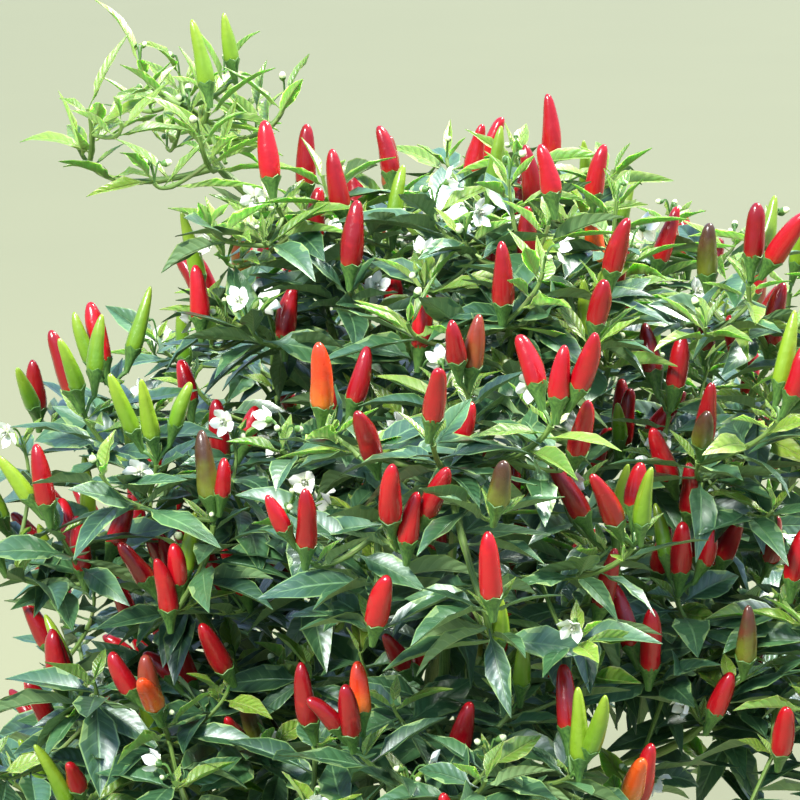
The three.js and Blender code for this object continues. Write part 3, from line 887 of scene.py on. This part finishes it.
fruit_heaps = {kind: Heap(f"fruit_{kind}", "skin") for kind in FRUIT_KINDS}
fruit_radii, height = np.array(FRUIT_PROFILE).T[..., None]
above = np.clip(height, 0, 1)
angle = angles_round(FRUIT_SIDES)
for fruit in fruits:
    phase, lump = rng.uniform(0, 6, 3), rng.uniform(0.02, 0.06)
    taper = rng.uniform(*(GREEN_TAPER if fruit.kind == "green" else RIPE_TAPER))
    swell = 1 + lump * np.sin(2 * angle + 3.5 * height + phase[0])
    swell += 0.6 * lump * np.sin(3 * angle - 7 * height + phase[1])
    waist = 1 + 1.2 * lump * above * np.sin(9 * height + phase[2])
    radius = fruit_radii * fruit.girth * (1 - taper * np.maximum(height, 0)) * swell * waist
    x_way, y_way = frame_round(fruit.axis, 90 * phase[2])
    rise = CALYX_LENGTH + np.where(height < 0, height, height * fruit.length)
    middle = fruit.root + fruit.axis * rise + x_way * (1.2 * fruit.bow * above**2)
    rings = middle[:, None] + x_way * (radius * np.cos(angle))[..., None]
    rings += y_way * (radius * np.sin(angle))[..., None]
    fruit_heaps[fruit.kind].add(rings, angle, above, rng.uniform(0, 1))

for kind, skin in zip(FRUIT_KINDS, (red_skin, orange_skin, green_skin, turning_skin)):
    fruit_piece = fruit_heaps[kind].make(skin)
    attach(fruit_piece, "root")


# ---- Blossom and buds ----
# White flowers nod from the shoots' tips, singly and half open, each with five or six waxy petals round a
# ring of grey-green anthers. Beside them hang round greenish-white buds, in small green cups.

# A blade's columns go round it, from one edge over its upper side to the other and back below.
COLUMNS = np.array((1.0, 0.5, 0.0, -0.5, -1.0, -0.5, 0.0, 0.5))
UNDERSIDE = np.array((0, 0, 0, 0, 0, 1, 1, 1))
PETAL = dict(
    rows=np.array((0.0, 0.2, 0.42, 0.64, 0.84, 1.0)),
    outline=np.array((0.42, 0.68, 0.98, 0.94, 0.56, 0.05)),
    half=2.8, twist=0.0, fold=0.25, wave=0.5, depth=0.35, rib=0.45,
)
PETAL_LENGTH = 8.0
BUD_PROFILE = ((0.8, -0.1), (1.6, 0.9), (1.95, 2.2), (1.7, 3.6), (0.95, 4.6), (0.05, 4.95))
CUP_PROFILE = ((0.55, -1.0), (1.25, -0.2), (1.85, 0.9), (2.05, 1.9), (1.8, 1.9))
CUP_GRAIN = 20.0
ANTHER_PROFILE = ((0.15, 0.0), (0.6, 0.6), (0.55, 1.7), (0.1, 2.1))
PISTIL_PROFILE = ((0.35, 0.0), (0.35, 3.0), (0.6, 3.4), (0.05, 3.7))
PETAL_WHITE = (0.80, 0.83, 0.76)
PETAL_FOOT = (0.56, 0.66, 0.34)
PETAL_LINE = (0.62, 0.68, 0.55)
BUD_WHITE = (0.66, 0.72, 0.44)
BUD_FOOT = (0.40, 0.52, 0.16)
ANTHER_GREY = (0.20, 0.25, 0.20)
ANTHER_DUST = (0.42, 0.42, 0.28)
GOLDEN_TURN = 137.5
FLOWER = SimpleNamespace(reach=(7, 11), rise=(4, 9), nod=(-0.9, 0.1), wide=5.0, room=8.0)
BUD = SimpleNamespace(reach=(3, 7), rise=(4, 10), nod=(-0.6, 1.2), wide=0.0, room=3.4)
CROSS = np.array(((0, 0, 0), (1, 0, 0), (-1, 0, 0), (0, 1, 0), (0, -1, 0)))


def blade(root, along, side, rows, outline, length, half, droop, twist, fold, wave, phase, depth, rib):
    """Rings of a thin blade, which bends down on its way out, twists, folds along its rib and ripples."""
    up = np.cross(along, side)
    bent = -droop * rows**1.5
    ways = np.cos(bent)[:, None] * along + np.sin(bent)[:, None] * up
    ups = np.cos(bent)[:, None] * up - np.sin(bent)[:, None] * along
    steps = np.diff(rows)[:, None] * 0.5 * (ways[1:] + ways[:-1]) * length
    middle = root + np.concatenate((np.zeros((1, 3)), np.cumsum(steps, axis=0)))
    c, s = np.cos(twist * rows)[:, None], np.sin(twist * rows)[:, None]
    sides, ups = c * side + s * ups, c * ups - s * side
    wide = np.maximum(outline * half, 0.16)[:, None]
    edge = np.abs(COLUMNS)
    ripple = wave * edge**2 * np.sin(2 * pi * 2.6 * rows[:, None] + phase + 1.9 * (COLUMNS > 0))
    lift = edge * wide * sin(fold) + np.sin(edge * pi) * 0.10 * wide
    lift += ripple * np.minimum(wide, 3.0) * 0.3
    slim = np.clip(wide / 2.0, 0.35, 1.0)
    deep = np.where(COLUMNS == 0, rib * (1.15 - 0.75 * rows[:, None]), depth) * slim
    deep = np.where(wide < 1.2, 2 * wide * (1 - 0.3 * edge), deep) * UNDERSIDE
    across = COLUMNS * wide * cos(fold)
    return middle[:, None] + sides[:, None] * across[..., None] + ups[:, None] * (lift - deep)[..., None]


rng = np.random.RandomState(37)
blossoms, buds = [], []
for twig in twigs:
    node = twig.curve.at(1 - twig.bare)
    spin = rng.uniform(0, 360)
    lively = 0 if twig.shade or twig.mass is leaning_shoot else 0.11 if twig.fruitful else 0.34
    wanted = (rng.uniform() < lively) + (rng.uniform() < 0.3 * lively)
    bud_odds = (0.72, 0.2, 0.08, 0.0) if twig.fruitful else (0.3, 0.35, 0.25, 0.1)
    wanted_buds = rng.choice(4, p=bud_odds) * (not twig.shade)
    for n in range(wanted + wanted_buds):
        kind = FLOWER if n < wanted else BUD
        sideways = unit(heading(spin + GOLDEN_TURN * n) + 0.9 * facing_at(node) * (n == 0))
        reach, rise = rng.uniform(*kind.reach), rng.uniform(*kind.rise)
        head = node + reach * sideways + rise * UP
        knee = node + 0.35 * reach * sideways + (rise + 5) * UP
        facing = unit(sideways + rng.uniform(*kind.nod) * UP)
        centre = head + 4 * facing
        if space.hits(centre + kind.wide * CROSS):
            continue
        space.add(centre[None], kind.room, Taken.FLOWER)
        flower = SimpleNamespace(node=node, knee=knee, head=head, facing=facing, size=1.0)
        (blossoms if kind is FLOWER else buds).append(flower)

petal = Finish("petal")
[along] = petal.parts(petal.mark("blade"), "Y")
lines = petal.streaks((9.0, 1.2, 1.0), mark="blade")
colour = petal.mix(petal.step(along, 0.42, 0.0), PETAL_WHITE, PETAL_FOOT)
colour = petal.mix(petal.step(lines, 0.55, 0.75) * 0.3, colour, PETAL_LINE)
petal.surface(colour, 0.42 + lines * 0.15, lines, 0.00015, Specular_IOR_Level=0.4)

anther = Finish("anther")
dust = anther.cloud(anther.place(), scale=2500.0)
colour = anther.mix(dust, ANTHER_GREY, ANTHER_DUST)
anther.surface(colour, 0.7, dust, 0.0001)

bud_skin = Finish("bud_skin")
along, tone = bud_skin.parts(bud_skin.mark("blade"), "YZ")
colour = bud_skin.mix(bud_skin.step(along, 0.0, 0.7), BUD_FOOT, BUD_WHITE)
grit = bud_skin.cloud(bud_skin.place(), scale=1200.0)
bud_skin.surface(colour, 0.4 + tone * 0.1, grit, 0.0001)

blossom_heap = Heap("blossom", "blade")
cup_heap = Heap("blossom_stalks_and_cups")
bud_heap = Heap("buds", "blade")
for k, flower in enumerate(blossoms):
    count = 5 + (k % 3 == 0)
    spread = radians(rng.uniform(34, 68))
    x_way, y_way = frame_round(flower.facing, 50 * k)
    foot = flower.head + 1.2 * flower.facing
    for n in range(count):
        turn = 2 * pi * n / count
        radial = cos(turn) * x_way + sin(turn) * y_way
        along = cos(spread) * flower.facing + sin(spread) * radial
        rings = blade(
            foot + 0.9 * radial, along, np.cross(radial, flower.facing),
            length=PETAL_LENGTH * rng.uniform(0.92, 1.08), droop=rng.uniform(-0.5, 0.7),
            phase=rng.uniform(0, 6), **PETAL,
        )
        blossom_heap.add(rings, COLUMNS, PETAL["rows"][:, None], k)
        turn += pi / count
        radial = cos(turn) * x_way + sin(turn) * y_way
        root = foot + 0.9 * radial + 1.2 * flower.facing
        rings = turned(ANTHER_PROFILE, unit(flower.facing + 0.35 * radial), root, 5)
        blossom_heap.add(rings, 0.0, 0.0, 0.0, slots=1)
    rings = turned(PISTIL_PROFILE, flower.facing, foot, 6)
    blossom_heap.add(rings, 0.0, 0.6, 0.0)
for bud in buds:
    bud.size = rng.uniform(0.6, 1.0)
    rings = turned(np.array(BUD_PROFILE) * bud.size, bud.facing, bud.head, 8)
    bud_heap.add(rings, 0.0, np.linspace(0, 1, len(BUD_PROFILE))[:, None], 1.0)
for k, flower in enumerate([*blossoms, *buds]):
    stalk = Bend(flower.node, flower.knee, flower.head - 0.4 * flower.facing)
    cup_heap.add(*rings_along(stalk, lambda along, angle: 0.5 + 0.12 * along, 5, 6, CUP_GRAIN * k))
    rings = turned(np.array(CUP_PROFILE) * flower.size, flower.facing, flower.head, 8)
    cup_heap.add(rings, 1.0, 2.0, CUP_GRAIN * k)
blossom = blossom_heap.make(petal, anther)
bud_piece = bud_heap.make(bud_skin)
cups = cup_heap.make(stalk_finish)
for piece, slot in ((blossom, "blossom"), (bud_piece, "blossom"), (cups, "calyx")):
    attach(piece, "root")


# ---- Leaves ----
# Leaves are thin blades on short stalks, drawn out to a point, folded along the midrib and drooping. They
# stand in a spiral at each shoot's tip and in ones to threes at its nodes; the youngest are small and lime.
# More lime leaves stand on the right side and at the front low on the left, as painted sunlight.

# A form is rows along the leaf, and how wide it is at each.
LEAF_FORM = np.array((
    (0.0, 0.10, 0.18, 0.29, 0.44, 0.62, 0.81, 1.0), (0.060, 0.055, 0.17, 0.72, 1.0, 0.88, 0.45, 0.02)))
PLAIN_FORM = np.array(((0.0, 0.14, 0.30, 0.52, 0.77, 1.0), (0.060, 0.090, 0.76, 1.0, 0.56, 0.02)))
PLAIN_BELOW = 24
LEAF_HALF = 0.158
BLADE_THICKNESS = 0.34
MIDRIB_THICKNESS = 0.9
BLADE_SLOTS = np.array((0, 0, 0, 0, 1, 1, 1, 1))

# A leaf's rank is its place down the spiral, from the youngest on. Back is how far below the tip it is.
RANK_LENGTH = (13, 20, 29, 37, 42, 47, 50, 50)
RANK_PITCH = (60, 44, 31, 21, 14, 8, 3, -3)
RANK_DROOP = (6, 9, 12, 15, 18, 22, 25, 28)
RANK_BACK = (0.0, 1.5, 3.5, 6.5, 10.5, 15.5, 22.0, 30.0)
SHOOT_BACK = 8.5
SHOOT_RANKS = 5
SHOOT_SLIM = 0.64
ASIDE_TURNS = (0, 31, -31, 62, -62, 93, -93)
MOST_HITS = 5

between = np.random.RandomState(23).uniform
blades = []


def place_leaf(twig, share, turn, pitch, length, droop, young_or_sunlit, slim):
    """Puts a leaf at a share of a twig. One that is in the way of something turns aside at each try."""
    root = twig.curve.at(share)
    rows, outline = PLAIN_FORM if twig.shade or length < PLAIN_BELOW else LEAF_FORM
    shape = dict(
        rows=rows, outline=outline, length=length, half=LEAF_HALF * length * between(0.85, 1.2) * slim,
        droop=radians(droop * between(0.2, 1.9)), twist=between(-0.7, 0.7),
        fold=radians(between(6, 32) + 10 * young_or_sunlit), wave=between(0.1, 1.1), phase=between(0, 6),
        depth=BLADE_THICKNESS, rib=MIDRIB_THICKNESS,
    )
    c = cos(radians(between(-38, 38)))
    s = copysign(sqrt(1 - c * c), between(-1, 1))
    tilt = radians(pitch)
    best, fewest = None, inf
    for aside in ASIDE_TURNS:
        along = cos(tilt) * heading(turn + aside) + sin(tilt) * UP
        side = unit(np.cross(UP, along))
        rings = blade(root, along, c * side + s * np.cross(along, side), **shape)
        hits = space.hits(rings[2:, (0, 2, 4)].reshape(-1, 3))
        if hits < fewest:
            best, fewest = rings, hits
        if hits == 0:
            break
    if fewest <= MOST_HITS - young_or_sunlit:
        space.add(best[2:8:2, (0, 2, 4)].reshape(-1, 3), 2.6, Taken.LEAF)
        blades.append((best, rows[:, None], twig.mass, young_or_sunlit, between(0, 1)))


def share_fresh_or_sunlit(x, y, z):
    """How many shoots get lime leaves: more high up, where new growth is, and more on the right and at the
    front low on the left, where lime leaves are painted sunlight.
    """
    high = 0.7 * min(max((z - 400) / 110, 0), 1)
    right = (0.55 if z > 330 else 0.32) * (x > 60)
    return 0.12 + high + right + 0.55 * (x < -60 and y < -40 and z < 340)


order = sorted(twigs, key=lambda twig: -twig.curve.tip[2])
for rank, back in enumerate(RANK_BACK):
    for twig in order:
        on_shoot = twig.mass is leaning_shoot
        share_back = twig.bare + (SHOOT_BACK * rank if on_shoot else back) / twig.curve.length
        if share_back > 0.85 or on_shoot and rank >= SHOOT_RANKS:
            continue
        # A shoot may get lime leaves; the extra share on the right and at the front low on the left is
        # painted sunlight.
        fresh_or_sunlit = on_shoot or not twig.shade and twig.turn % 10 < 10 * share_fresh_or_sunlit(*twig.curve.tip)
        young_or_sunlit_ranks = 2 if twig.fruitful else 3
        if fresh_or_sunlit:
            young_or_sunlit_ranks = 7 if twig.curve.tip[2] > 430 else 5
        length = RANK_LENGTH[rank] * between(0.8, 1.15) * (0.9 if fresh_or_sunlit else 1.0)
        slim = 1.2 if twig.mass.ring == "skirt" else 0.8 if fresh_or_sunlit else 1.0
        pitch, droop = RANK_PITCH[rank], RANK_DROOP[rank]
        if on_shoot:
            length, slim, pitch, droop = between(22, 46), SHOOT_SLIM, 0.7 * pitch, 30
        pitch = pitch + between(-14, 14) + 14 * (twig.mass.ring == "crest")
        turn = twig.turn + GOLDEN_TURN * rank + between(-12, 12)
        place_leaf(twig, 1 - share_back, turn, pitch, length, droop, on_shoot or rank < young_or_sunlit_ranks, slim)
for twig in order:
    on_shoot = twig.mass is leaning_shoot
    for share in twig.nodes:
        for half_turn in (0, 120, 240) if twig.shade else (0,) if on_shoot else (0, 180):
            turn = twig.turn + 90 + half_turn + between(-40, 40)
            pitch = between(-15, 35) - (35 if twig.shade else 0)
            slim = SHOOT_SLIM if on_shoot else 1.1
            place_leaf(
                twig, share * (1 - twig.bare), turn, pitch, between(35, 53), 24, on_shoot, slim)

leaf_heaps = {}
# One piece of lime leaves: the young ones, and those that are painted sunlight on the right and at the
# front low on the left.
young_or_sunlit_heap = Heap("young_and_sunlit_leaves", "blade")
for rings, rows, mass, young_or_sunlit, tone in blades:
    heap = young_or_sunlit_heap if young_or_sunlit else leaf_heaps.setdefault(mass.side, Heap(f"leaves_{mass.side}", "blade"))
    heap.add(rings, COLUMNS, rows, tone, slots=BLADE_SLOTS)


def leaf_finish(name, dark, light, vein, painted_rim_glow, rough, veins, coat, glow):
    """A leaf's side: leaves of two tones, a pale midrib and side veins, a thin pale edge that is painted
    glow of light shining through it, and a soft gloss.
    """
    finish = Finish(name)
    across, along, tone = finish.parts(finish.mark("blade"), "XYZ")
    aside = abs(across)
    place = finish.place()
    blotch = finish.cloud(place, scale=90.0, detail=3.0)
    fine = finish.cloud(place, scale=900.0, detail=2.0)
    midrib = finish.step(aside, 0.10, 0.025)
    rise = along * 9.0 - aside * 1.35
    wave = finish.node("Math", {"operation": "SINE"}, {"Value": rise * (2 * pi)}, "Value")
    side_veins = finish.step(wave, 0.86, 0.99) * finish.step(aside, 0.98, 0.75)
    colour = finish.mix(tone * 0.65 + blotch * 0.35, dark, light)
    colour = finish.mix(side_veins * veins, colour, vein)
    colour = finish.mix(midrib * 0.85, colour, vein)
    # The pale edge is painted glow, as of light shining through the leaf's thin margin.
    colour = finish.mix(finish.step(aside, 0.88, 0.97) * 0.8, colour, painted_rim_glow)
    puffed = wave * -0.25 + midrib * -0.8 + fine * 0.25
    finish.surface(
        colour, rough + blotch * 0.16 - 0.08, puffed, 0.0004, Coat_Weight=coat, Coat_Roughness=0.40,
        Coat_Tint=(0.80, 0.91, 1.0), Specular_IOR_Level=0.5, Subsurface_Weight=glow,
        Subsurface_Radius=(0.45, 1.0, 0.16), Subsurface_Scale=0.0012,
    )
    return finish


# Dark, light, vein and painted edge-glow colours, the roughness, and how much veins, coat and inner glow
# there are.
leaf_upper = leaf_finish(
    "leaf_upper", (0.012, 0.044, 0.018), (0.080, 0.185, 0.055), (0.16, 0.27, 0.09), (0.26, 0.38, 0.10),
    0.37, 0.3, 1.0, 0.0)
leaf_under = leaf_finish(
    "leaf_underside", (0.10, 0.19, 0.075), (0.18, 0.29, 0.11), (0.23, 0.33, 0.14), (0.26, 0.38, 0.10),
    0.55, 0.5, 0.0, 0.0)
# Lime leaf sides, for young leaves and for the lime leaves that are painted sunlight.
young_or_sunlit_upper = leaf_finish(
    "young_or_sunlit_leaf_upper", (0.085, 0.175, 0.018), (0.245, 0.335, 0.036), (0.29, 0.37, 0.08),
    (0.36, 0.44, 0.08), 0.38, 0.3, 0.4, 0.5)
young_or_sunlit_under = leaf_finish(
    "young_or_sunlit_leaf_underside", (0.18, 0.31, 0.07), (0.30, 0.43, 0.11), (0.36, 0.48, 0.15),
    (0.42, 0.54, 0.12), 0.55, 0.4, 0.0, 0.5)

for side, heap in leaf_heaps.items():
    leaves = heap.make(leaf_upper, leaf_under)
    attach(leaves, "root")
    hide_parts(*[mass.name for mass in masses if mass.side == side])
young_and_sunlit_leaves = young_or_sunlit_heap.make(young_or_sunlit_upper, young_or_sunlit_under)
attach(young_and_sunlit_leaves, "root")


# ---- Floor, light and camera ----
# A plain pale floor, a warm sun from behind on the right, a small soft lamp at the front on the left, and
# pale air that turns blue higher up. The camera looks a little down at the crown, as the photograph does.

FLOOR_SIZE = 14.0
FLOOR_TONES = ((0.152, 0.156, 0.088), (0.160, 0.164, 0.092))
AIR_LOW = (0.62, 0.70, 0.72)
AIR_HIGH = (0.95, 1.42, 2.15)
CAMERA_AIM = (0.0, 0.0, 0.40)
CAMERA_AWAY = 1.52
CAMERA_TILT = radians(14)
CAMERA_HALF_VIEW = radians(7.5)

bpy.ops.mesh.primitive_plane_add(size=FLOOR_SIZE, location=(0, 0, 0))
floor = bpy.context.object
floor.name = "floor"
floor_finish = Finish("floor_finish")
speckle = floor_finish.cloud(floor_finish.place(), scale=3.0)
floor_finish.surface(floor_finish.mix(speckle, *FLOOR_TONES), 0.8, speckle, 0.0005)
floor.data.materials.append(floor_finish.owner)


def stand(data, place, aim):
    """Stands a light or the camera at a place, turned to what it is aimed at."""
    holder = bpy.data.objects.new(data.name, data)
    holder.location = place
    holder.rotation_euler = (Vector(aim) - Vector(place)).to_track_quat("-Z", "Y").to_euler()
    bpy.context.scene.collection.objects.link(holder)
    return holder


key = bpy.data.lights.new("key_light", "SUN")
key.energy, key.color, key.angle = 10.8, (1.0, 0.96, 0.86), radians(13)
stand(key, (1.02, 0.52, 1.80), (0.04, 0.0, 0.36))
fill = bpy.data.lights.new("fill_light", "AREA")
fill.shape, fill.size, fill.energy, fill.color = "DISK", 0.5, 120, (1.0, 0.98, 0.93)
stand(fill, (-0.95, -1.45, 2.0), (0.0, -0.05, 0.28))

air = Finish("air", "worlds")
[height] = air.parts(air.place("Generated"), "Z")
climb = air.node("MapRange", {}, {"Value": height, "From Min": -0.1, "From Max": 0.5}, "Result")
glow = {"Color": air.mix(climb, AIR_LOW, AIR_HIGH), "Strength": 0.74}
air.node("OutputWorld", {}, {"Surface": air.node("Background", {}, glow, "Background")})
bpy.context.scene.world = air.owner
bpy.context.scene.view_settings.view_transform = "Standard"

camera_data = bpy.data.cameras.new("camera")
camera_data.sensor_width = 36.0
camera_data.lens = 0.5 * camera_data.sensor_width / tan(CAMERA_HALF_VIEW)
away = Vector((0.0, -cos(CAMERA_TILT), sin(CAMERA_TILT)))
camera = stand(camera_data, Vector(CAMERA_AIM) + CAMERA_AWAY * away, CAMERA_AIM)
bpy.context.scene.camera = camera
